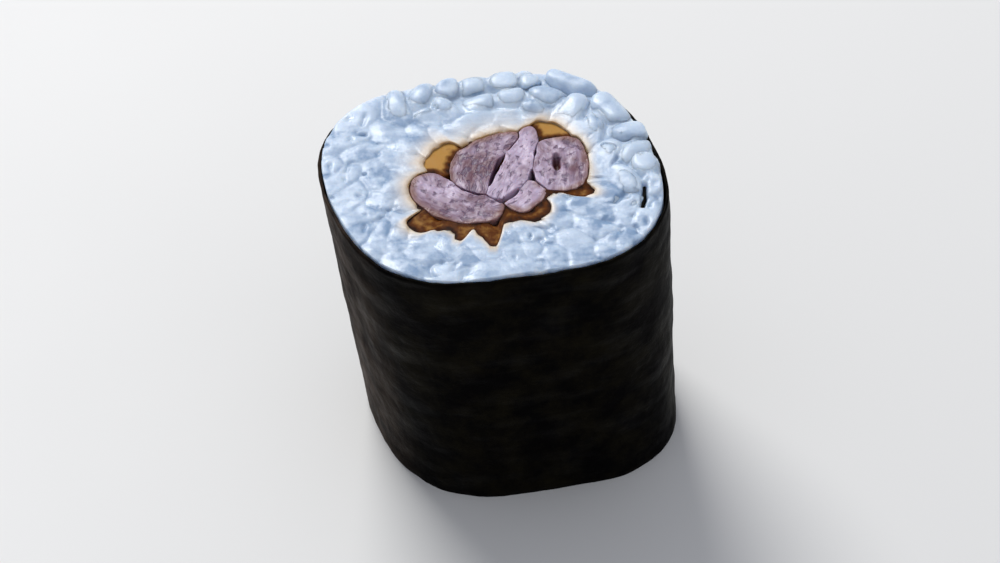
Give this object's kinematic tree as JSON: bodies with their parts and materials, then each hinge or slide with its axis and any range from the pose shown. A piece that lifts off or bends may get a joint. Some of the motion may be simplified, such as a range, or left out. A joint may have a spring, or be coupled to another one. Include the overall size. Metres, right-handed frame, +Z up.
{
  "type": "shiitake hosomaki piece",
  "caption": "Thin sushi roll piece standing on its cut end: a nori sheet round a ring of sushi rice, with simmered shiitake slices running through the middle.",
  "frame": {"origin": "bottom centre of the piece: under the middle of its bounding box, on the lower cut", "axes": "+Z up along the roll; +X across the section's wider way, towards the tucked first edge of the nori; +Y to the back, across the section's narrower way"},
  "size_m": [0.0308, 0.0264, 0.028],
  "materials": {
    "nori": "toasted laver sheet, near black with an olive cast, satin, finely wrinkled",
    "rice": "cooked short-grain rice, cool white, moist and slightly translucent",
    "mushroom": "simmered shiitake flesh, mauve grey and moist, with a brown stained skin"
  },
  "bodies": {
    "root": {"nori": "nori", "rice": "rice", "shiitake_crescent": "mushroom", "shiitake_left": "mushroom", "shiitake_middle": "mushroom", "shiitake_right": "mushroom", "shiitake_sliver": "mushroom"}
  },
  "joints": []
}
